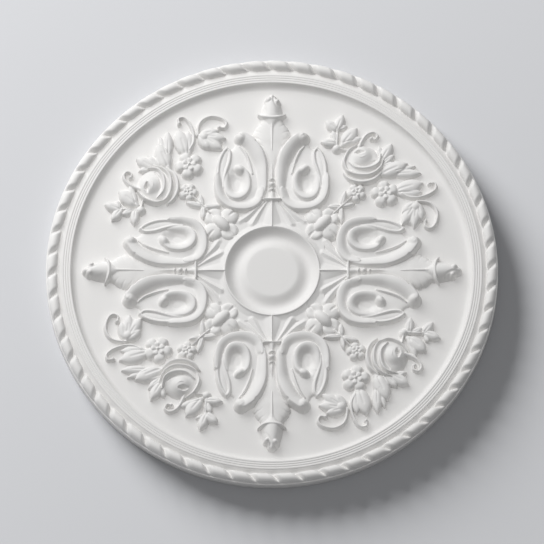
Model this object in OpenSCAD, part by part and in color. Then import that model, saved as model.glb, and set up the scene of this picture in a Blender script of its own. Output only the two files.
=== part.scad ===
// Ceiling rose: a round medallion moulded in one piece, with a rope border, a reeded rim,
// a dished centre disc, four arms between paired scrolls, four rosettes and four flower sprays.
// It lies face up. The origin is the centre of the flat back, which goes against the ceiling,
// and +Z points out of the carved face, which is down once the rose is fixed overhead.

/* [Plate] */
// Diameter over the outer edge
rose_d = 780; // [600:10:1100]
// Thickness of the plate under the flat field
field_t = 9; // [5:1:20]

/* [Rim] */
// Height of the ledge that carries the rope, from the back
ledge_h = 18; // [12:1:30]
// Plain ledge outside the rope
edge_w = 1.5; // [1:0.5:6]
// Width of the rope
rope_w = 18; // [12:1:28]
// Height of the rope over its ledge
rope_h = 14; // [6:1:24]
// Number of turns in the rope
rope_turns = 60; // [36:2:84]
// Depth of the grooves between turns, as a share of the rope's height
rope_groove = 0.42; // [0.2:0.02:0.7]
// Width of the slope between the rope and the reeds
slope_w = 7.5; // [3:0.5:12]
// Number of fine reeds
reeds = 4; // [2:1:6]
// Width of one reed
reed_w = 4; // [2:0.5:7]
// Height of the valleys between the reeds, from the back
reed_base_h = 22; // [14:1:34]
// Width of the cove that drops from the reeds to the field
cove_w = 8; // [4:1:20]

/* [Centre disc] */
// Diameter of the disc over its raised ring
disc_d = 164; // [120:2:220]
// Width of the raised ring
ring_w = 7; // [4:1:14]
// Height of the ring, from the back
ring_h = 21; // [14:1:40]
// Width of the dish, from the ring in to its lowest line
dish_w = 11; // [6:1:20]
// Height of that line, from the back
dish_h = 7; // [4:1:24]
// Width of the slope from that line up to the flat top of the boss
boss_slope_w = 23; // [10:1:32]
// Height of the boss, from the back
boss_h = 13; // [6:1:40]
// Margin of the square plinth round the disc
plinth_w = 7; // [3:1:14]

/* [Carving heights over the field] */
// Scroll horns at their rounded ends
horn_h = 24; // [14:1:36]
// Rims and ribbons of the scrolls
ribbon_h = 16; // [10:1:28]
// Curl inside each scroll
curl_h = 18; // [12:1:30]
// Leaf along each arm
leaf_h = 15; // [8:1:24]
// Bud at the end of each arm
bud_h = 25; // [12:1:36]
// Fan of leaves at the foot of each arm
fan_h = 11; // [7:1:20]
// Square plinth under the disc and the fans
plinth_h = 8; // [4:1:16]
// Rosette petals
rosette_h = 14; // [9:1:24]
// Oval seed on each rosette
seed_h = 21; // [12:1:32]
// Large rose in each spray
bloom_h = 22; // [12:1:30]
// Small flowers, buds and leaves of the sprays
sprig_h = 12; // [6:1:20]

/* [Hidden] */

root = 3;             // depth that the carving is let into the plate
drawn_span = 255;     // length from disc to cove that the carving is drawn for
groove_steps = 3;     // samples in one turn of the rope
rope_points = 5;      // points across the rope
rope_skew = 1.3;      // samples that a groove runs round while it crosses the rope
rope_start = 2.8;     // angle at which the first groove leaves the rope's outer edge
bevel = 2;            // bevel on the outer edge

rose_r = rose_d / 2;
rope_r = rose_r - edge_w - rope_w / 2;
valley_r = rope_r - rope_w / 2;
reed_out_r = valley_r - slope_w;
reed_in_r = reed_out_r - reeds * reed_w;
field_r = reed_in_r - cove_w;
disc_r = disc_d / 2;
dish_r = disc_r - ring_w - dish_w;
boss_r = dish_r - boss_slope_w;
carving_scale = (field_r - disc_r) / drawn_span;

// ---- Curves ----

function clamped(list, i) = list[max(0, min(len(list) - 1, i))];

// Point at t on the smooth curve through the given points, one unit of t to a span.
function on_curve(p, t) =
    let (i = min(floor(t), len(p) - 2), f = t - i,
         a = clamped(p, i - 1), b = p[i], c = p[i + 1], d = clamped(p, i + 2))
    (2 * b + f * (c - a) + f * f * (2 * a - 5 * b + 4 * c - d) + f * f * f * (3 * b - 3 * c + d - a)) / 2;

function curve(p, steps) = [for (k = [0 : steps]) on_curve(p, (len(p) - 1) * k / steps)];

function across(line, k) =
    let (a = clamped(line, k - 1), b = clamped(line, k + 1), run = [b[0] - a[0], b[1] - a[1]])
    [-run[1], run[0]] / norm(run);

// ---- Carving strokes ----

// A closed skin over rows of points, each row the same length: rows follow each other, and
// the first and last rows are closed flat.
module skin(rows) {
    m = len(rows[0]);
    n = len(rows);
    polyhedron(
        points = [for (row = rows) for (p = row) p],
        faces = [
            for (k = [0 : n - 2]) for (j = [0 : m - 1])
                let (a = k * m + j, b = k * m + (j + 1) % m)
                each [[a, b, a + m], [b, b + m, a + m]],
            [for (j = [m - 1 : -1 : 0]) j],
            [for (j = [0 : m - 1]) (n - 1) * m + j]
        ]);
}

// Sections of a ridge, as [share of the half width, share of the height].
ROUND = [[-1, 0], [-0.72, 0.68], [0, 1], [0.72, 0.68], [1, 0]];
FLAT = [[-1, 0], [-0.5, 0.95], [0.5, 0.95], [1, 0]];
SHARP = [[-1, 0], [0, 1], [1, 0]];
LEAF = [[-1, 0], [-0.9, 0.5], [0, 1], [0.9, 0.5], [1, 0]];

// A ridge along a curve. Each of its points is [x, y, width, height].
module ridge(points, steps, section = SHARP) {
    line = curve(points, steps);
    skin([for (k = [0 : steps])
        let (side = across(line, k) * line[k][2] / 2)
        [for (s = section) [
            line[k][0] + side[0] * s[0],
            line[k][1] + side[1] * s[0],
            s[1] == 0 ? -root : line[k][3] * s[1]]]]);
}

// A mound, in lobes if lobes is over 1: loops of points round its centre, each loop given as
// [share of the radius, height], with the radius drawn in by the notch between the lobes.
module mound(r, loops, lobes = 1, notch = 0, sides = 6, stretch = 1) {
    skin([for (l = loops)
        [for (j = [sides - 1 : -1 : 0])
            let (a = 360 * j / sides, rr = r * l[0] * (1 - notch * (1 - abs(sin(lobes * a / 2)))))
            [rr * cos(a), rr * sin(a) * stretch, l[1]]]]);
}

module pad(x, y, r, h, stretch = 1, turn = 0) {
    translate([x, y]) rotate(turn) mound(r, [[1, -root], [0.62, h]], stretch = stretch);
}

module leaf(x, y, turn, length, width, h) {
    translate([x, y]) rotate(turn)
        ridge([[0, 0, width * 0.3, h * 0.6], [0, length * 0.45, width, h], [0, length, width * 0.1, h * 0.3]], 2);
}

// ---- Arms ----

// Fan of leaves that flare from the disc and narrow to the collar of the arm.
module fan() {
    ridge([[0, -3, 30, fan_h], [0, 50, 8, fan_h - 2]], 1);
    for (side = [0, 1]) mirror([side, 0, 0]) {
        ridge([[27, -2, 15, fan_h - 5], [17, 24, 11, fan_h - 4], [7, 48, 5, fan_h - 5]], 2);
        ridge([[58, 6, 16, fan_h - 8], [32, 22, 12, fan_h - 5], [12, 48, 6, fan_h - 5]], 2);
    }
}

// Collar, bell, bead and spear that stand on the fan.
module stem() {
    ridge([[-15, 50, 7, fan_h + 2], [15, 50, 7, fan_h + 2]], 1);
    ridge([[0, 52, 16, 13], [0, 62, 9, 12], [0, 70, 12, 9]], 2);
    pad(0, 76, 8, 14);
    ridge([[0, 83, 9, 12], [0, 92, 8, 14], [0, 104, 2, 10]], 2);
}

module arm_leaf() {
    ridge([[0, 98, 8, leaf_h - 7], [0, 132, 30, leaf_h - 3], [0, 168, 62, leaf_h], [0, 201, 34, leaf_h]],
        5, LEAF);
    ridge([[0, 150, 6, leaf_h + 1], [0, 198, 9, leaf_h + 3]], 1);
}

module bud() {
    ridge([[-23, 206, 8, bud_h - 6], [0, 201, 14, bud_h - 3], [23, 206, 8, bud_h - 6]], 2, FLAT);
    ridge([[0, 202, 36, bud_h], [0, 218, 34, bud_h - 1], [0, 232, 22, bud_h - 6]], 2, FLAT);
    pad(0, 234, 9, bud_h - 3);
}

// ---- Scrolls ----

// The horn rises beside the arm to a rounded end. The rim goes the other way, round the eye
// of the scroll, and runs out in two ribbons, and a curl lies in the eye.
module scroll() {
    ridge([[23, 46, 20, ribbon_h - 4], [17.5, 82, 25, ribbon_h], [20, 114, 27, ribbon_h + 4],
        [34, 148, 28, horn_h], [56, 167, 24, horn_h - 2], [67, 169, 9, horn_h - 14]], 6, ROUND);
    ridge([[20, 52, 14, ribbon_h - 5], [56, 35, 14, ribbon_h - 1], [94, 54, 12, ribbon_h],
        [98, 94, 11, ribbon_h - 3], [79, 144, 9, ribbon_h - 9]], 8, FLAT);
    ridge([[82, 56, 8, ribbon_h - 6], [84, 100, 9, ribbon_h - 8], [70, 134, 6, ribbon_h - 11]], 3);
    ridge([[60, 110, 12, curl_h], [45, 97, 17, curl_h], [42, 60, 11, curl_h - 6], [64, 53, 12, curl_h - 6],
        [74, 86, 6, curl_h - 11]], 6, FLAT);
}

module arm() {
    fan();
    stem();
    arm_leaf();
    bud();
    for (side = [0, 1]) mirror([side, 0, 0]) scroll();
}

// ---- Rosettes and sprays ----

module rosette() {
    translate([0, 41.5]) {
        rotate(45)
            mound(34, [[1, -root], [0.88, rosette_h]], lobes = 4, notch = 0.3, sides = 16);
        mound(10, [[1, -root], [0.85, seed_h * 0.75], [0.35, seed_h]], stretch = 1.8);
    }
    for (turn = [-32, 0, 32]) rotate(turn) leaf(0, 60, 0, 38, 14, sprig_h);
}

module flower(x, y, r, petals, h) {
    translate([x, y])
        mound(r, [[1, -root], [0.85, h]], lobes = petals, notch = 0.28, sides = 3 * petals);
}

module tendril(points) {
    ridge([for (p = points) [p[0], p[1], 5.5, sprig_h - 3]], len(points) - 2);
}

// The spray is not the same on its two sides, and the four sprays follow each other round.
module spray() {
    translate([-34, 174]) {
        mound(31, [[1, -root], [0.95, bloom_h - 9], [0.74, bloom_h - 1], [0.25, bloom_h - 4]], sides = 12);
        ridge([[-29, 8, 6, bloom_h - 8], [-24, -20, 9, bloom_h - 7], [0, -33, 10, bloom_h - 7],
            [24, -22, 9, bloom_h - 7], [31, -2, 6, bloom_h - 8]], 5);
    }
    flower(32, 160, 25, 8, sprig_h + 5);
    flower(3, 128, 18, 5, sprig_h + 2);
    flower(94, 167, 19, 5, sprig_h);
    pad(59, 198, 12, sprig_h + 2, 0.8, 20);
    pad(-30, 217, 12, sprig_h, 0.9);
    pad(23, 204, 14, sprig_h + 2, 0.8, -30);
    pad(41, 221, 10, sprig_h - 2, 0.8, 40);
    leaf(-8, 192, -15, 28, 14, sprig_h);
    for (at = [[-128, 191, 13], [-112, 161, 13], [-84, 190, 13], [-82, 160, 9]])
        pad(at[0], at[1], at[2], sprig_h - 1, 0.85, -45);
    ridge([[-86, 164, 6, sprig_h - 3], [-101, 180, 6, sprig_h - 2], [-126, 192, 6, sprig_h - 3]], 2);
    tendril([[52, 178], [72, 188], [88, 200], [92, 215], [88, 227], [80, 228], [79, 221]]);
    tendril([[88, 191], [106, 203], [124, 199], [137, 188], [139, 173], [128, 168], [121, 176]]);
    tendril([[-58, 182], [-68, 206], [-65, 221], [-54, 225], [-48, 218], [-55, 214]]);
}

// ---- Rope and plate ----

// The rope is one closed ring of sections. A section is full on a turn and drawn in at a
// groove, and its points are shifted round so that the grooves cross the rope slantwise.
function rope_point(j, k) =
    let (bulge = 1 - rope_groove * (1 - abs(sin(180 * j / groove_steps))),
         a = 180 * k / (rope_points - 1),
         turn = rope_start + 360 * (j - rope_skew * k / (rope_points - 1)) / (rope_turns * groove_steps),
         r = rope_r + rope_w / 2 * cos(a) * (0.4 + 0.6 * bulge),
         z = k == 0 || k == rope_points - 1 ? ledge_h - root : ledge_h + rope_h * sin(a) * bulge)
    [r * cos(turn), r * sin(turn), z];

module rope() {
    n = rope_turns * groove_steps;
    m = rope_points;
    polyhedron(
        points = [for (j = [0 : n - 1]) for (k = [0 : m - 1]) rope_point(j, k)],
        faces = [for (j = [0 : n - 1]) for (k = [0 : m - 1])
            let (a = j * m + k, b = j * m + (k + 1) % m, c = (j + 1) % n * m + k, d = (j + 1) % n * m + (k + 1) % m)
            each [[a, b, c], [b, d, c]]]);
}

function reed_profile(i) = [for (a = [0 : 45 : 135])
    [reed_out_r - reed_w * (i + 0.5) + reed_w / 2 * cos(a), reed_base_h + reed_w / 2 * sin(a)]];

function cove_profile() = [for (a = [0 : 15 : 90])
    [field_r + cove_w * cos(a), reed_base_h - (reed_base_h - field_t) * sin(a)]];

function ring_profile() = [for (a = [0 : 30 : 150])
    [disc_r - ring_w / 2 + ring_w / 2 * cos(a), ring_h - ring_w / 2 + ring_w / 2 * sin(a)]];

function dish_profile() = [for (t = [0 : 1 / 6 : 0.99])
    [dish_r + dish_w * (1 - t),
     dish_h + (ring_h - ring_w / 2 - dish_h) * (1 - sin(90 * t))]];

function boss_profile() = [for (t = [0 : 1 / 8 : 1])
    [dish_r - boss_slope_w * t, dish_h + (boss_h - dish_h) * (1 - cos(180 * t)) / 2]];

module plate() {
    rotate_extrude($fn = 180)
        polygon(concat(
            [[0, 0], [rose_r, 0], [rose_r, ledge_h - bevel], [rose_r - bevel / 2, ledge_h], [valley_r, ledge_h]],
            [for (i = [0 : reeds - 1]) each reed_profile(i)],
            cove_profile(),
            [[disc_r, field_t]],
            ring_profile(),
            dish_profile(),
            boss_profile(),
            [[0, boss_h]]));
}

module at_disc_edge(turn) {
    rotate(turn) translate([0, disc_r, field_t]) scale([carving_scale, carving_scale, 1]) children();
}

// Its sides show between the fans, and the rosettes cover its corners. It is open over the dish.
module plinth() {
    w = disc_d + 2 * plinth_w;
    translate([0, 0, field_t - root]) linear_extrude(root + plinth_h) difference() {
        square([w, w], center = true);
        circle(r = disc_r - ring_w / 2, $fn = 24);
    }
}

// The motifs overlap, and resize() with nothing to resize joins them in one skin.
module carving() {
    resize([0, 0, 0]) union() {
        plinth();
        for (turn = [0 : 90 : 270]) {
            at_disc_edge(turn) arm();
            at_disc_edge(turn - 45) rosette();
            at_disc_edge(turn - 45) spray();
        }
    }
}

module ceiling_rose() {
    color("#e2e1de") union() {
        plate();
        rope();
        carving();
    }
}

ceiling_rose();
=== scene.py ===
import math

import bpy
import numpy as np
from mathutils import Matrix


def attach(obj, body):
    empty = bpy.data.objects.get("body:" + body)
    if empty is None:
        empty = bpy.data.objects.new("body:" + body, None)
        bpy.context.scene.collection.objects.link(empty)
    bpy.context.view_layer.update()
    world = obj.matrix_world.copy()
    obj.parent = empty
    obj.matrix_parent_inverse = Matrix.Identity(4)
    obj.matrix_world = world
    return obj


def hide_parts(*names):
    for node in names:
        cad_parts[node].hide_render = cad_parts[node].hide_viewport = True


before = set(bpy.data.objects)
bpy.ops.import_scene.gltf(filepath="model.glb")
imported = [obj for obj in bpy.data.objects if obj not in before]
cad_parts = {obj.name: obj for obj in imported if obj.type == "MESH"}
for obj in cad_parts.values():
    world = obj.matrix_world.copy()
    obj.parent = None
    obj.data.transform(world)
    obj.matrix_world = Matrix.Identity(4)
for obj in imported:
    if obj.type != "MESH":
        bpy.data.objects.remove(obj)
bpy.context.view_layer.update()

MM = 0.001

# ---- Camera ----
# A long lens looks down on the rose, 20 degrees off its axis, so that its round outline is a
# little flattened and hardly narrows towards the back. The rose lies face up on the floor.
LENS = 500.0
SENSOR = 36.0
VIEW_WIDTH = 938 * MM
VIEW_ELEVATION = math.radians(69.8)
VIEW_CENTRE = (0, -2.2 * MM, 18 * MM)

lens_data = bpy.data.cameras.new("view")
lens_data.lens = LENS
lens_data.sensor_width = SENSOR
view = bpy.data.objects.new("view", lens_data)
bpy.context.scene.collection.objects.link(view)
bpy.context.scene.camera = view
view_distance = VIEW_WIDTH * LENS / SENSOR
view.location = (
    VIEW_CENTRE[0],
    VIEW_CENTRE[1] - view_distance * math.cos(VIEW_ELEVATION),
    VIEW_CENTRE[2] + view_distance * math.sin(VIEW_ELEVATION),
)
view.rotation_euler = (math.pi / 2 - VIEW_ELEVATION, 0, 0)
lens_data.clip_end = 4 * view_distance

# ---- Plate ----
# The round body of the rose: a flat field inside a reeded rim, and the dished disc in the
# middle. It is one moulding of rigid foam with the rest, and its flat back is glued to the
# ceiling, so the back is plain.
ROSE_R = 389.8
BACK_BEVEL = 1.0
FIELD_T = 9.0
LEDGE_H = 18.0
EDGE_BEVEL = 1.4
VALLEY_R = 370.5
REED_OUT_R = 363.0
REEDS = 4
REED_W = 4.0
REED_RISE = 1.1
REED_BASE_H = 22.0
COVE_W = 11.0
FIELD_R = REED_OUT_R - REEDS * REED_W - COVE_W
DISC_R = 82.0
CREST_R = 82.8
RING_H = 21.0
RING_EDGE = 1.3
DISH_R = 64.0
DISH_H = 6.5
BOSS_R = 42.0
BOSS_H = 14.5
WALL_FOOT = 0.5
PLATE_STEPS = 360


def solid(name, vertices, faces, smooth=True):
    """A mesh object from an array of vertices in millimetres and an array of faces."""
    mesh = bpy.data.meshes.new(name)
    mesh.from_pydata((np.asarray(vertices) * MM).tolist(), [], faces)
    mesh.polygons.foreach_set("use_smooth", [smooth] * len(mesh.polygons))
    mesh.update()
    piece = bpy.data.objects.new(name, mesh)
    bpy.context.scene.collection.objects.link(piece)
    return piece


def ring_of_rows(row_count, per_row):
    """Quads that join each row to the next and the last row to the first; rows are closed too."""
    row, place = np.meshgrid(np.arange(row_count), np.arange(per_row), indexing="ij")
    after, beside = (row + 1) % row_count, (place + 1) % per_row
    quads = np.stack(
        [row * per_row + place, row * per_row + beside, after * per_row + beside, after * per_row + place],
        axis=-1,
    )
    return quads.reshape(-1, 4)


def arc(centre_r, centre_z, radius_r, radius_z, start, end, steps):
    """Points [r, z] on an ellipse arc about a centre, from one angle in degrees to another."""
    a = np.radians(np.linspace(start, end, steps))
    return np.stack([centre_r + radius_r * np.cos(a), centre_z + radius_z * np.sin(a)], axis=1)


def slope(from_r, from_z, to_r, to_z, steps, shape):
    """Points [r, z] between two places; the height follows shape(t) from 0 to 1 as t goes 0 to 1."""
    t = np.linspace(0, 1, steps)
    return np.stack([from_r + (to_r - from_r) * t, from_z + (to_z - from_z) * shape(t)], axis=1)


plate_profile = np.concatenate(
    [
        [[ROSE_R - BACK_BEVEL, 0], [ROSE_R, BACK_BEVEL]],
        arc(ROSE_R - EDGE_BEVEL, LEDGE_H - EDGE_BEVEL, EDGE_BEVEL, EDGE_BEVEL, 0, 90, 5),
        [[VALLEY_R + 1.5, LEDGE_H]],
        slope(VALLEY_R, LEDGE_H, REED_OUT_R, REED_BASE_H, 7, lambda t: (1 - np.cos(np.pi * t)) / 2),
    ]
    + [
        arc(REED_OUT_R - REED_W * (reed + 0.5), REED_BASE_H, REED_W / 2, REED_RISE, 8, 172, 7)
        for reed in range(REEDS)
    ]
    + [
        arc(FIELD_R, REED_BASE_H, COVE_W, REED_BASE_H - FIELD_T, -6, -90, 14),
        [[FIELD_R - 6, FIELD_T], [240, FIELD_T], [160, FIELD_T], [CREST_R + 4, FIELD_T]],
        slope(CREST_R + 2.5, FIELD_T + WALL_FOOT, CREST_R + 1, RING_H - 2 * RING_EDGE, 4, lambda t: t),
        arc(CREST_R - RING_EDGE, RING_H - RING_EDGE, RING_EDGE, RING_EDGE, 0, 140, 7),
        slope(CREST_R - 2.4 * RING_EDGE, RING_H - 1.2, DISH_R, DISH_H, 16, lambda t: 1 - (1 - t) ** 2),
        slope(DISH_R - 1, DISH_H, BOSS_R, BOSS_H, 20, lambda t: (1 - np.cos(np.pi * t)) / 2),
        [[BOSS_R - 3, BOSS_H], [20, BOSS_H]],
    ]
)
plate_turn = 2 * np.pi * np.arange(PLATE_STEPS) / PLATE_STEPS
plate_vertices = np.stack(
    [
        np.outer(np.cos(plate_turn), plate_profile[:, 0]),
        np.outer(np.sin(plate_turn), plate_profile[:, 0]),
        np.tile(plate_profile[:, 1], (PLATE_STEPS, 1)),
    ],
    axis=-1,
).reshape(-1, 3)
plate_rows = len(plate_profile)
plate_quads = ring_of_rows(PLATE_STEPS, plate_rows)
plate_quads = plate_quads[(plate_quads[:, 0] % plate_rows) != plate_rows - 1]
plate_inner = np.arange(PLATE_STEPS) * plate_rows
boss_centre, back_centre = len(plate_vertices), len(plate_vertices) + 1
plate_caps = [
    [a, b, boss_centre]
    for a, b in zip(plate_inner + plate_rows - 1, np.roll(plate_inner, -1) + plate_rows - 1)
] + [[b, a, back_centre] for a, b in zip(plate_inner, np.roll(plate_inner, -1))]
plate = solid(
    "plate",
    np.concatenate([plate_vertices, [[0, 0, BOSS_H], [0, 0, 0]]]),
    plate_quads[:, ::-1].tolist() + plate_caps,
)

# The finish of the whole casting: a matt white primer, rolled on, a little uneven in tone and
# gloss from place to place, over the very slightly grained skin of the moulded foam.
PRIMER_LIGHT = (0.85, 0.84, 0.827, 1)
PRIMER_SHADE = (0.82, 0.812, 0.80, 1)
PRIMER_ROUGHNESS = (0.52, 0.68)
PRIMER_SPECULAR = 0.35
TONE_SCALE = 9.0
GRAIN_SCALE = 900.0
GRAIN_DEPTH = 0.06 * MM
GRAIN_STRENGTH = 0.6

primer = bpy.data.materials.new("primed_moulding")
primer.use_nodes = True
nodes, links = primer.node_tree.nodes, primer.node_tree.links
primer_shader = nodes["Principled BSDF"]
primer_shader.inputs["Specular IOR Level"].default_value = PRIMER_SPECULAR
position = nodes.new("ShaderNodeTexCoord")
tone = nodes.new("ShaderNodeTexNoise")
tone.inputs["Scale"].default_value = TONE_SCALE
tone.inputs["Detail"].default_value = 5
grain = nodes.new("ShaderNodeTexNoise")
grain.inputs["Scale"].default_value = GRAIN_SCALE
grain.inputs["Detail"].default_value = 2
tint = nodes.new("ShaderNodeMix")
tint.data_type = "RGBA"
tint.inputs["A"].default_value = PRIMER_SHADE
tint.inputs["B"].default_value = PRIMER_LIGHT
gloss = nodes.new("ShaderNodeMapRange")
gloss.inputs["To Min"].default_value, gloss.inputs["To Max"].default_value = PRIMER_ROUGHNESS
relief_grain = nodes.new("ShaderNodeBump")
relief_grain.inputs["Strength"].default_value = GRAIN_STRENGTH
relief_grain.inputs["Distance"].default_value = GRAIN_DEPTH
links.new(position.outputs["Object"], tone.inputs["Vector"])
links.new(position.outputs["Object"], grain.inputs["Vector"])
links.new(tone.outputs["Fac"], tint.inputs["Factor"])
links.new(tone.outputs["Fac"], gloss.inputs["Value"])
links.new(grain.outputs["Fac"], relief_grain.inputs["Height"])
links.new(tint.outputs["Result"], primer_shader.inputs["Base Color"])
links.new(gloss.outputs["Result"], primer_shader.inputs["Roughness"])
links.new(relief_grain.outputs["Normal"], primer_shader.inputs["Normal"])

casting = bpy.data.collections.new("casting")


def cast(piece):
    """Primes a piece and makes it part of the one casting."""
    casting.objects.link(piece)
    piece.data.materials.append(primer)
    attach(piece, "root")


cast(plate)
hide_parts("ceiling_rose")

# ---- Rope border ----
# A twisted rope laid round the rim, part of the same moulding: sixty turns that swell in the
# middle, with slanting slots between them, on a ledge that stays plain outside it.
EDGE_W = 1.5
ROPE_W = 18.0
ROPE_H = 14.0
ROPE_TURNS = 60
ROPE_SKEW = math.radians(2.6)
ROPE_START = math.radians(2.4)
ROPE_GAP = 0.6
ROPE_SWELL = 0.18
ROPE_STEPS = 22
ROPE_POINTS = 15
ROPE_ROOT = 2.0

lobe = (1 - np.cos(np.pi * np.arange(ROPE_STEPS) / ROPE_STEPS)) / 2
rope_turn = (np.arange(ROPE_TURNS)[:, None] + lobe).ravel() * 2 * np.pi / ROPE_TURNS
rope_gap = np.tile(np.clip(1 - np.sin(np.pi * lobe) / ROPE_GAP, 0, 1), ROPE_TURNS)
over = np.radians(np.linspace(0, 180, ROPE_POINTS))
rope_cut = rope_gap[:, None] * (0.25 + 0.75 * np.sin(over / 2))
rope_swell = 1 - ROPE_SWELL + ROPE_SWELL * np.tile(np.sin(np.pi * lobe) ** 0.8, ROPE_TURNS)[:, None]
rope_angle = rope_turn[:, None] + ROPE_START - ROPE_SKEW * over / np.pi
rope_radius = ROSE_R - EDGE_W - ROPE_W / 2 * (1 - np.cos(over) * (1 - 0.35 * rope_cut))
rope_z = LEDGE_H + ROPE_H * np.sin(over) ** 0.8 * (1 - rope_cut) * rope_swell
rope_rows = np.stack([rope_radius * np.cos(rope_angle), rope_radius * np.sin(rope_angle), rope_z], axis=-1)
rope_foot = rope_rows[:, [-1, 0]] * [1, 1, 0] + [0, 0, LEDGE_H - ROPE_ROOT]
rope_rows = np.concatenate([rope_rows, rope_foot], axis=1)
rope = solid(
    "rope_border",
    rope_rows.reshape(-1, 3),
    ring_of_rows(len(rope_turn), ROPE_POINTS + 2)[:, ::-1].tolist(),
)
cast(rope)

# ---- Arms ----
# Four arms at right angles, each between a pair of scrolls: a fan of leaves at the disc, a
# collar with beads, a long leaf and a closed bud. They are carved relief of the same casting,
# rising from the flat field. Each is a net of heights over the field, made once and turned.
NET = 0.75
FLOOR = -1.2
APEX = -6.0
FAR_BELOW = -20.0


def curve(points, per_span=7):
    """The smooth line through the rows: on each span it is the cubic whose slope at a row is
    half the step between that row's neighbours."""
    p = np.array(points, float)
    p = np.vstack([2 * p[0] - p[1], p, 2 * p[-1] - p[-2]])
    f = np.linspace(0, 1, per_span, endpoint=False)[:, None, None]
    a, b, c, d = p[:-3], p[1:-2], p[2:-1], p[3:]
    line = (2 * b + f * (c - a) + f * f * (2 * a - 5 * b + 4 * c - d) + f ** 3 * (3 * b - 3 * c + d - a)) / 2
    return np.vstack([line.transpose(1, 0, 2).reshape(-1, p.shape[1]), p[-2]])


def beside(line, x, y):
    """For each place, the line's row at its nearest point, and the distance to it, which is
    positive on the left of the line and negative on its right."""
    start, run = line[:-1], np.diff(line, axis=0)
    dx, dy = x - start[:, :1], y - start[:, 1:2]
    length = (run[:, 0] ** 2 + run[:, 1] ** 2)[:, None]
    along = np.clip((dx * run[:, :1] + dy * run[:, 1:2]) / length, 0, 1)
    off = np.hypot(dx - along * run[:, :1], dy - along * run[:, 1:2])
    k = np.argmin(off, axis=0)
    n = np.arange(x.size)
    left = run[k, 0] * dy[k, n] >= run[k, 1] * dx[k, n]
    return start[k] + along[k, n, None] * run[k], np.where(left, off[k, n], -off[k, n])


def rounded(u):
    """A full round back: 1 less the 2.4th power of the distance."""
    return 1 - np.abs(u) ** 2.4


def gable(u):
    """A sharp back with steep sides: it falls by three fifths to the edge, then drops."""
    return 1 - 0.6 * np.abs(u) - 0.4 * np.abs(u) ** 8


def domed(u):
    """A low back with steep edges: it falls by two fifths to the edge, then drops."""
    return 1 - 0.4 * u * u - 0.6 * np.abs(u) ** 8


def leaning(lean, back=rounded):
    """A section whose crest stands at lean, from -1 on the right to 1 on the left."""
    return lambda u: back(np.where(u > lean, (u - lean) / (1 - lean), (u - lean) / (1 + lean)))


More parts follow.
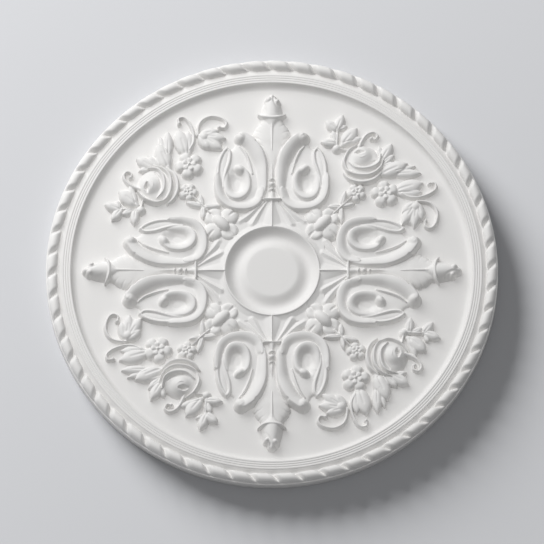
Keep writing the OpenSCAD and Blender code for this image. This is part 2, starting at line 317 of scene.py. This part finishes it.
class Relief:
    """Heights over the flat field on a square net of places, in millimetres. Each motif is
    blended with those before it: the higher one wins, with a fillet in the corner."""

    def __init__(self, left, right, low, high):
        self.left, self.low = left, low
        self.x, self.y = np.meshgrid(np.arange(left, right, NET), np.arange(low, high, NET), indexing="ij")
        self.z = np.full(self.x.shape, FAR_BELOW)

    def near(self, x, y, margin):
        """The part of the net round these places, as two slices."""
        i = [(np.min(x) - margin - self.left) / NET, (np.max(x) + margin - self.left) / NET + 1]
        j = [(np.min(y) - margin - self.low) / NET, (np.max(y) + margin - self.low) / NET + 1]
        return tuple(slice(max(int(a), 0), max(int(b), 0)) for a, b in (i, j))

    def add(self, part, height, fillet):
        """The higher of old and new, plus a fillet that is largest where they are level."""
        old = self.z[part]
        top = np.maximum(old, height)
        level = np.clip(1 - np.abs(old - height) / fillet, 0, 1) ** 2
        self.z[part] = top + np.where(top > FLOOR, fillet / 4 * level, 0)

    def ridge(self, points, section=rounded, fillet=1.2):
        """A ridge along the curve through rows [x, y, width, height]: the height of the row
        times the section of the distance over half the width."""
        line = curve(points)
        part = self.near(line[:, 0], line[:, 1], line[:, 2].max() / 2 + 3)
        x = self.x[part]
        row, off = beside(line, x.ravel(), self.y[part].ravel())
        self.add(part, (row[:, 3] * section(off / (row[:, 2] / 2))).reshape(x.shape), fillet)

    def groove(self, points):
        """A groove along the curve through rows [x, y, width, depth], with a round bottom: the
        depth times the square of 1 less the squared distance over half the width."""
        line = curve(points)
        part = self.near(line[:, 0], line[:, 1], line[:, 2].max() / 2)
        x = self.x[part]
        row, off = beside(line, x.ravel(), self.y[part].ravel())
        share = np.clip(1 - (off / (row[:, 2] / 2)) ** 2, 0, 1) ** 2
        self.z[part] -= (row[:, 3] * share).reshape(x.shape)

    def plinth(self, half, top, fall):
        """A quarter of a square plinth round the disc, with sheer sides: its height is the top
        less the fall for each of the first ten millimetres out from the disc, and four less for
        each millimetre beyond the half width, into the disc or past the quarter's diagonals."""
        part = self.near([-half, half], [-28, half - DISC_R], 3)
        x, y = self.x[part], self.y[part] + DISC_R
        out = np.hypot(x, y) - DISC_R
        inside = np.minimum(np.minimum(half - y, out + 3), y - np.abs(x) + 1)
        self.add(part, top - fall * np.clip(out, 0, 10) + 4 * np.minimum(inside, 0), 1.0)

    def mound(self, x, y, radius, height, section=rounded, stretch=1.0, turn=0.0, fillet=1.2):
        """A round or oval mound: its height times the section of the distance over its radius,
        where distances along the turned long way count less by the stretch."""
        part = self.near(x, y, radius * max(stretch, 1) + 3)
        c, s = math.cos(math.radians(turn)), math.sin(math.radians(turn))
        dx, dy = self.x[part] - x, self.y[part] - y
        off = np.hypot((c * dx + s * dy) / stretch, c * dy - s * dx)
        self.add(part, height * section(off / radius), fillet)

    def leaflet(self, x, y, tip_x, tip_y, width, height):
        """A blunt leaf from its foot to its tip: widest in the middle, with steep edges, a
        shallow crease along its inner half and its tip turned down."""
        dx, dy = tip_x - x, tip_y - y
        shares = (
            (0, 0.45, 0.7), (0.2, 0.92, 0.95), (0.45, 1.1, 1), (0.7, 1, 1), (0.88, 0.62, 0.9), (1, 0.2, 0.7),
        )
        rows = [[x + dx * t, y + dy * t, width * w, height * h] for t, w, h in shares]
        self.ridge(rows, domed, fillet=0.8)
        crease = [
            [x + dx * t, y + dy * t, width * 0.25, height * 0.13 * (1 - t)] for t in (0.1, 0.35, 0.6)
        ]
        self.groove(crease)

    def flower(self, x, y, radius, petals, height, rise=0.4, notch=0.22, crease=0.35, turn=0.0, fillet=0.8):
        """Petals round a centre: the outline is drawn in by the notch between two petals, each
        petal rises outward by its share of the height, and a crease parts it from the next."""
        part = self.near(x, y, radius + 3)
        dx, dy = self.x[part] - x, self.y[part] - y
        petal = np.abs(np.cos(petals / 2 * (np.arctan2(dy, dx) - math.radians(turn))))
        u = np.hypot(dx, dy) / (radius * (1 - notch * (1 - petal) ** 1.5))
        rising = (1 - rise + rise * u) * (1 - u ** 7)
        self.add(part, height * rising * (1 - crease * (1 - petal) ** 2 * np.clip(2 * u, 0, 1)), fillet)


def cut_net(relief):
    """The part of the net that stands over the field, as vertices [x, y, height] and faces. Its
    edge lies just inside the plate, and from there a skirt closes it in one point deeper in."""
    z = np.maximum(relief.z, FLOOR)
    up = z > FLOOR
    kept = up[:-1, :-1] | up[1:, :-1] | up[:-1, 1:] | up[1:, 1:]
    i, j = np.nonzero(kept)
    low = i * z.shape[1] + j
    quads = np.stack([low, low + z.shape[1], low + z.shape[1] + 1, low + 1], axis=-1)
    bare = ~np.pad(kept, 1)
    sides = zip(((0, -1), (1, 0), (0, 1), (-1, 0)), ((0, 1), (1, 2), (2, 3), (3, 0)))
    rim = np.concatenate([quads[bare[i + 1 + di, j + 1 + dj]][:, side] for (di, dj), side in sides])
    used, places = np.unique(quads, return_inverse=True)
    quads = places.reshape(quads.shape)
    apex = [relief.x.mean(), relief.y.mean(), APEX]
    skirt = np.column_stack([np.searchsorted(used, rim)[:, ::-1], np.full(len(rim), len(used))])
    vertices = np.column_stack([relief.x.ravel()[used], relief.y.ravel()[used], z.ravel()[used]])
    return np.vstack([vertices, apex]), quads.tolist() + skirt.tolist()


def turned(name, relief, first):
    """Four casts of one relief, set on the field at the disc's edge and turned by quarters. The
    relief ends inside the disc's raised edge."""
    relief.z[np.hypot(relief.x, relief.y + DISC_R) < DISC_R - 3] = FAR_BELOW
    vertices, faces = cut_net(relief)
    for quarter in range(4):
        a = math.radians(first - 90 * quarter)
        x, y = vertices[:, 0], vertices[:, 1] + DISC_R
        spun = np.column_stack(
            [math.cos(a) * x - math.sin(a) * y, math.sin(a) * x + math.cos(a) * y, vertices[:, 2] + FIELD_T]
        )
        cast(solid(f"{name}_{quarter + 1}", spun, faces))


# Widths and heights of the carving over the field.
PLINTH_W = 7.0
PLINTH_H = 8.0
FAN_H = 11.0
BED_H = 7.5
HORN_H = 22.4
BAND_H = 15.0
CURL_H = 19.0
LEAF_H = 14.0
BUD_H = 21.8


def on_side(side, rows):
    """The rows on one side of the arm, 1 for the right, which is the side they are drawn on."""
    return [[side * row[0], *row[1:]] for row in rows]


# The square plinth under the disc, and a low bed that all the carving of the arm stands on.
arm = Relief(-108, 108, -28, 250)
arm.plinth(DISC_R + PLINTH_W + 1, PLINTH_H + 2, 0.5)
arm.ridge([[0, 0, 112, 6], [0, 22, 88, 6], [0, 46, 44, 7], [0, 100, 34, 7], [0, 140, 30, 6]], domed)
for side in (-1, 1):
    arm.ridge(
        on_side(side, [[40, 44, 30, BED_H - 1], [50, 62, 74, BED_H], [56, 90, 82, BED_H],
                       [56, 118, 68, BED_H - 1], [50, 144, 34, BED_H - 2]]),
        domed, fillet=3,
    )
    arm.groove(on_side(side, [[57, 68, 40, 7], [60, 84, 42, 8.5], [61, 98, 28, 5]]))

# The fan of leaves from the disc to the collar: a broad ridged one and two on each side of it.
arm.ridge([[0, 0, 46, FAN_H], [0, 26, 27, FAN_H + 1], [0, 50, 9, FAN_H]], gable, fillet=1)
arm.ridge([[0, 0, 5, FAN_H + 3], [0, 26, 4, FAN_H + 3], [0, 50, 3, FAN_H + 1]])
for side in (-1, 1):
    arm.ridge(
        on_side(side, [[34, 5, 20, FAN_H - 2], [22, 26, 13, FAN_H - 1], [8, 47, 6, FAN_H - 2]]),
        gable, fillet=1,
    )
    arm.ridge(
        on_side(side, [[56, 10, 18, FAN_H - 3], [38, 23, 14, FAN_H - 2], [14, 46, 7, FAN_H - 2]]),
        gable, fillet=1,
    )

# The scroll on each side of the arm, then the horn between the scroll and the arm.
for side in (-1, 1):
    # band from the foot of the horn round the eye to its end, with a long inner slope
    arm.ridge(
        on_side(side, [[20, 66, 16, BAND_H], [25, 50, 20, BAND_H - 1], [38, 41, 23, BAND_H - 1],
                       [56, 38.5, 22, BAND_H], [73, 43, 22, BAND_H], [85, 54, 22, BAND_H + 1],
                       [90.5, 70, 20, BAND_H + 1], [92, 84, 17, BAND_H + 1], [93, 93, 14, BAND_H]]),
        leaning(0.6 * -side), fillet=4,
    )
    # outer ribbon from under the band's end round the tip, and its inner edge back
    arm.ridge(on_side(side, [[86, 84, 20, 9], [85, 112, 19, 9], [80, 136, 13, 8]]), domed, fillet=3)
    arm.ridge(
        on_side(side, [[93, 86, 8, 13], [93, 108, 9, 12], [90, 124, 9, 12], [84, 138, 9, 11],
                       [78, 145, 8, 10]]),
        fillet=4,
    )
    arm.ridge(
        on_side(side, [[78, 145, 8, 10], [73, 137, 8, 11], [74, 121, 9, 12], [79, 104, 9, 12],
                       [83, 88, 8, 11], [84, 72, 5, 10]]),
        fillet=4,
    )
    # the eye: a hollow whose lip is high and steep outside, and slopes down inside
    arm.ridge(
        on_side(side, [[52, 104, 13, CURL_H - 3], [45, 94, 16, CURL_H - 4], [43, 78, 17, CURL_H - 5],
                       [47, 64, 18, CURL_H - 4], [57, 56.5, 20, CURL_H - 3], [68, 58, 20, CURL_H - 4],
                       [75.5, 68, 17, CURL_H - 6], [77.5, 84, 13, CURL_H - 8], [76, 98, 6, CURL_H - 10]]),
        leaning(0.5 * -side), fillet=3,
    )
    arm.mound(side * 55, 105, 9.5, CURL_H, stretch=1.45, turn=90 - side * 55, fillet=3)
    # thin rib along the inner side of the horn
    arm.ridge(
        on_side(side, [[34, 98, 5, 10], [40, 120, 7, 12], [47, 137, 7, 12], [56, 149, 4, 9]]),
        fillet=3,
    )
    # the horn, its crest beside the arm and a long slope inside, ending in a knob
    arm.ridge(
        on_side(side, [[20, 56, 14, BAND_H - 1], [17, 72, 19, BAND_H], [17.5, 93, 22, BAND_H + 2],
                       [19.5, 113, 26, HORN_H - 4], [26, 132, 30, HORN_H - 1], [37, 150, 29, HORN_H],
                       [49, 161, 25, HORN_H]]),
        leaning(0.6 * side), fillet=3,
    )
    arm.mound(side * 53, 163, 13.5, HORN_H + 0.5, fillet=5)

# The long leaf along the arm, with a rib and shallow side veins.
arm.ridge(
    [[0, 96, 8, LEAF_H - 6], [0, 114, 15, LEAF_H - 4], [0, 132, 30, LEAF_H - 2], [0, 150, 50, LEAF_H - 1],
     [0, 160, 60, LEAF_H], [0, 171, 66, LEAF_H], [0, 182, 58, LEAF_H], [0, 194, 40, LEAF_H]],
    domed, fillet=2,
)
for side in (-1, 1):
    for y, reach in ((150, 26), (162, 32), (175, 33), (187, 25)):
        vein = [[reach * 0.5, y - 5, 3, 0.2], [reach * 0.75, y, 5, 1], [reach + 1, y + 5, 6, 3.5]]
        arm.groove(on_side(side, vein))
arm.ridge([[0, 140, 3, LEAF_H], [0, 165, 6, LEAF_H + 2], [0, 194, 9, LEAF_H + 3]], fillet=3)

# Collar, bell and beads over the fan, and the spear that runs up between the horns.
arm.ridge([[-14, 49.5, 7, FAN_H + 5], [14, 49.5, 7, FAN_H + 5]])
arm.ridge([[0, 52, 18, 14], [0, 60, 12, 13], [0, 66, 9, 12]])
arm.mound(0, 67, 7.5, 17.5, stretch=0.6, turn=90)
arm.mound(0, 76.5, 7.5, 18)
arm.mound(0, 86, 6.5, 17, stretch=0.6, turn=90)
arm.ridge([[0, 87, 8, 13], [0, 96, 10, 14], [0, 106, 7, 12.5], [0, 118, 2, 10]], gable)

# The closed bud at the arm's end, with folded petals, on a flaring lip with pointed corners.
arm.ridge([[0, 186, 20, BUD_H - 6], [0, 199, 40, BUD_H - 1], [0, 209, 38, BUD_H], [0, 220, 34, BUD_H],
           [0, 231, 27, BUD_H - 1], [0, 238, 17, BUD_H - 5]], fillet=2)
arm.mound(-5, 232, 9, BUD_H + 1, fillet=3)
arm.mound(9, 229, 7, BUD_H, fillet=2)
arm.groove([[3, 243, 4, 2], [3, 230, 6, 2.6], [8, 219, 5, 1], [14, 214, 4, 1]])
arm.groove([[-12, 235, 4, 2], [-14, 222, 5, 1.6], [-10, 210, 5, 0.6]])
arm.ridge([[-24, 206, 3, BUD_H - 8], [-14, 200.5, 8, BUD_H - 1], [0, 198.5, 10, BUD_H + 0.5],
           [14, 200.5, 8, BUD_H - 1], [24, 206, 3, BUD_H - 8]], domed, fillet=2)
turned("arm", arm, 0)

# ---- Rosettes and sprays ----
# Between the arms, a four-petalled rosette with an oval seed beside the disc, and outside it a
# spray of a rose, small flowers, buds and tendrils. They are carved relief of the same casting.
ROSETTE_H = 14.0
SEED_H = 21.0
BLOOM_H = 20.0
SPRIG_H = 12.0
spray = Relief(-140, 150, -16, 240)
# the rosette, with a notch in the tip of each petal, and the leaves between it and the spray
ROSETTE_Y = 41.5
spray.flower(0, ROSETTE_Y, 36, 4, ROSETTE_H - 1, rise=0.05, notch=0.3, crease=0.25)
for turn in range(0, 360, 90):
    tip_x, tip_y = math.cos(math.radians(turn)), math.sin(math.radians(turn))
    spray.groove([[20 * tip_x, ROSETTE_Y + 20 * tip_y, 6, 1], [37 * tip_x, ROSETTE_Y + 37 * tip_y, 9, 4]])
spray.groove([[0, 22, 30, 4], [0, 62, 30, 4]])
spray.mound(0, 42, 11.5, SEED_H - 1, domed, stretch=1.8, turn=90, fillet=0.5)
for tip_x, tip_y, width in ((-15, 113, 11), (-16, 70, 11), (22, 66, 10), (13, 107, 8)):
    spray.leaflet(0, 87, tip_x, tip_y, width, SPRIG_H - 1)
spray.ridge([[0, 70, 6, SPRIG_H - 2], [1, 90, 5, SPRIG_H], [1, 112, 4, SPRIG_H - 2]])

# the rose: a broad disc of outer petals, a folded bud in it, and petals lapped below the bud
spray.mound(-30, 170, 33.5, BLOOM_H - 4, domed)
spray.mound(-37, 176, 25, BLOOM_H + 2, rounded, fillet=3)
spray.ridge([[-60, 186, 4, BLOOM_H - 7], [-62, 168, 8, BLOOM_H - 3], [-54, 149, 8, BLOOM_H - 3],
             [-40, 141, 5, BLOOM_H - 5]], fillet=3)
spray.ridge([[-46, 153, 5, BLOOM_H - 3], [-29, 156, 9, BLOOM_H + 1], [-15, 170, 11, BLOOM_H + 3],
             [-10, 187, 9, BLOOM_H + 2], [-19, 203, 4, BLOOM_H - 4]], leaning(-0.4), fillet=2)
spray.ridge([[-46, 143, 4, BLOOM_H - 6], [-34, 142, 8, BLOOM_H - 2], [-19, 149, 10, BLOOM_H],
             [-5, 164, 10, BLOOM_H + 1], [-2, 183, 8, BLOOM_H - 1], [-9, 200, 4, BLOOM_H - 6]],
            leaning(-0.4), fillet=2)
spray.ridge([[-40, 134, 4, BLOOM_H - 10], [-25, 134, 9, BLOOM_H - 6], [-8, 143, 11, BLOOM_H - 4],
             [4, 161, 11, BLOOM_H - 4], [5, 181, 6, BLOOM_H - 8]], leaning(-0.4), fillet=2)
spray.groove([[-50, 173, 7, 4], [-46, 178, 12, 11], [-41, 183, 7, 6]])
spray.ridge([[-43, 169, 4, BLOOM_H], [-35, 174, 8, BLOOM_H + 3], [-33, 184, 5, BLOOM_H]], fillet=2)
spray.groove([[-40, 157, 4, 0], [-27, 163, 6, 3], [-19, 174, 6, 4], [-16, 188, 4, 2]])

# the small flowers, each with a second ring of petals and an eye, and the half-open one
for x, y, radius, petals, top, turn in ((1, 124, 18, 5, SPRIG_H + 1, 20), (37, 158, 26, 5, SPRIG_H + 3, 0)):
    spray.flower(x, y, radius, petals, top, rise=0.25, notch=0.26, crease=0.4, turn=turn)
    spray.flower(x, y, radius * 0.56, petals, top + 2.5, rise=0.35, notch=0.2, crease=0.4, turn=turn + 36)
    spray.mound(x, y, radius * 0.18, top + 2)
spray.mound(98, 162, 18, SPRIG_H, domed)
for tip_x, tip_y, width in ((83, 155, 19), (117, 168, 19), (98, 139, 21), (116, 149, 21)):
    spray.leaflet(88, 184, tip_x, tip_y, width, SPRIG_H + 2)
spray.mound(92, 177, 10, SPRIG_H + 4, domed)

# leaves round the rose and the flowers, from foot to tip
for x, y, tip_x, tip_y, width, top in (
    (-10, 196, -19, 230, 20, SPRIG_H + 2), (-14, 201, -32, 212, 12, SPRIG_H - 1),
    (-4, 192, -2, 219, 14, SPRIG_H), (0, 190, 12, 211, 13, SPRIG_H),
    (8, 180, 25, 223, 27, SPRIG_H + 3), (24, 196, 54, 228, 17, SPRIG_H),
    (20, 196, 38, 231, 11, SPRIG_H - 2),
    (47, 176, 69, 217, 27, SPRIG_H + 1), (51, 174, 80, 204, 19, SPRIG_H - 1),
    (-79, 170, -83, 208, 25, SPRIG_H + 2), (-80, 172, -64, 203, 15, SPRIG_H - 1),
    (-103, 183, -129, 180, 17, SPRIG_H + 1), (-105, 182, -117, 209, 17, SPRIG_H + 1),
    (-104, 186, -98, 200, 9, SPRIG_H - 2),
    (-87, 165, -108, 147, 16, SPRIG_H + 1), (-90, 168, -109, 175, 13, SPRIG_H - 1),
):
    spray.leaflet(x, y, tip_x, tip_y, width, top)
spray.mound(-81, 158, 9.5, SPRIG_H + 1)
spray.ridge([[-66, 168, 5, SPRIG_H - 2], [-82, 160, 6, SPRIG_H - 2], [-96, 175, 5, SPRIG_H - 1],
             [-110, 187, 4, SPRIG_H - 2]])

# tendrils, drawn by rows [x, y, width], each ending in a bead
for tendril in (
    [[58, 178, 6], [72, 183, 7], [84, 195, 7], [92, 212, 7], [93, 226, 6], [85, 232, 6], [79, 225, 5]],
    [[86, 187, 6], [100, 198, 7], [113, 201, 7], [128, 195, 7], [138, 180, 7], [138, 168, 7],
     [129, 164, 6], [123, 171, 5]],
    [[-54, 184, 9], [-60, 199, 9], [-62, 213, 7], [-57, 224, 7], [-48, 225, 6], [-45, 217, 5],
     [-51, 213, 5]],
):
    spray.ridge([[x, y, width, SPRIG_H - 1] for x, y, width in tendril])
    spray.mound(*tendril[-1][:2], 4.5, SPRIG_H + 1)
turned("spray", spray, -45)

# ---- Floor and light ----
# A plain pale floor. A broad window light from the upper left models the relief of the rose, and
# a bounce from the same place, without shadows, softens it. A low lamp on that side, wide and
# lighting the floor only, lays the rose's long soft shadow on it.
FLOOR_SIZE = 12.0
FLOOR_COLOUR = (0.60, 0.606, 0.624, 1)
FLOOR_ROUGHNESS = 0.8
FLOOR_SPECULAR = 0.1
floor_mesh = bpy.data.meshes.new("floor")
edge = FLOOR_SIZE / 2
floor_corners = [[-edge, -edge, 0], [edge, -edge, 0], [edge, edge, 0], [-edge, edge, 0]]
floor_mesh.from_pydata(floor_corners, [], [[0, 1, 2, 3]])
floor = bpy.data.objects.new("floor", floor_mesh)
bpy.context.scene.collection.objects.link(floor)
floor_paint = bpy.data.materials.new("pale_floor")
floor_paint.use_nodes = True
floor_shader = floor_paint.node_tree.nodes["Principled BSDF"]
floor_shader.inputs["Base Color"].default_value = FLOOR_COLOUR
floor_shader.inputs["Roughness"].default_value = FLOOR_ROUGHNESS
floor_shader.inputs["Specular IOR Level"].default_value = FLOOR_SPECULAR
floor_mesh.materials.append(floor_paint)

LIGHT_TURN = math.radians(129)
WINDOW_ELEVATION = 44
WINDOW_DISTANCE = 3.0
WINDOW_SIZE = 2.8
WINDOW_WATTS = 48
BOUNCE_WATTS = 42
LOW_ELEVATION = 14.7
LOW_DISTANCE = 9.5
LOW_WIDTH = 5.6
LOW_HEIGHT = 3.0
LOW_WATTS = 2770
ROOM_COLOUR = (0.97, 0.975, 0.985, 1)
ROOM_STRENGTH = 0.265


def lamp(name, elevation, distance, size, watts, lit):
    """A round soft lamp in metres and watts, aimed at the rose from the upper left at an elevation
    in degrees. It lights one collection only."""
    data = bpy.data.lights.new(name, "AREA")
    data.shape = "DISK"
    data.size = size
    data.energy = watts
    e = math.radians(elevation)
    lamp_object = bpy.data.objects.new(name, data)
    lamp_object.location = (
        distance * math.cos(e) * math.cos(LIGHT_TURN),
        distance * math.cos(e) * math.sin(LIGHT_TURN),
        distance * math.sin(e),
    )
    lamp_object.rotation_euler = (math.pi / 2 - e, 0, LIGHT_TURN + math.pi / 2)
    bpy.context.scene.collection.objects.link(lamp_object)
    lamp_object.light_linking.receiver_collection = lit
    return lamp_object


ground = bpy.data.collections.new("ground")
ground.objects.link(floor)
lamp("window", WINDOW_ELEVATION, WINDOW_DISTANCE, WINDOW_SIZE, WINDOW_WATTS, casting)
bounce = lamp("window_bounce", WINDOW_ELEVATION, WINDOW_DISTANCE, WINDOW_SIZE, BOUNCE_WATTS, casting)
bounce.data.use_shadow = False
low_lamp = lamp("low_lamp", LOW_ELEVATION, LOW_DISTANCE, LOW_WIDTH, LOW_WATTS, ground)
low_lamp.data.shape = "ELLIPSE"
low_lamp.data.size_y = LOW_HEIGHT
world = bpy.data.worlds.new("room")
world.use_nodes = True
world.node_tree.nodes["Background"].inputs["Color"].default_value = ROOM_COLOUR
world.node_tree.nodes["Background"].inputs["Strength"].default_value = ROOM_STRENGTH
bpy.context.scene.world = world
bpy.context.scene.view_settings.view_transform = "Standard"
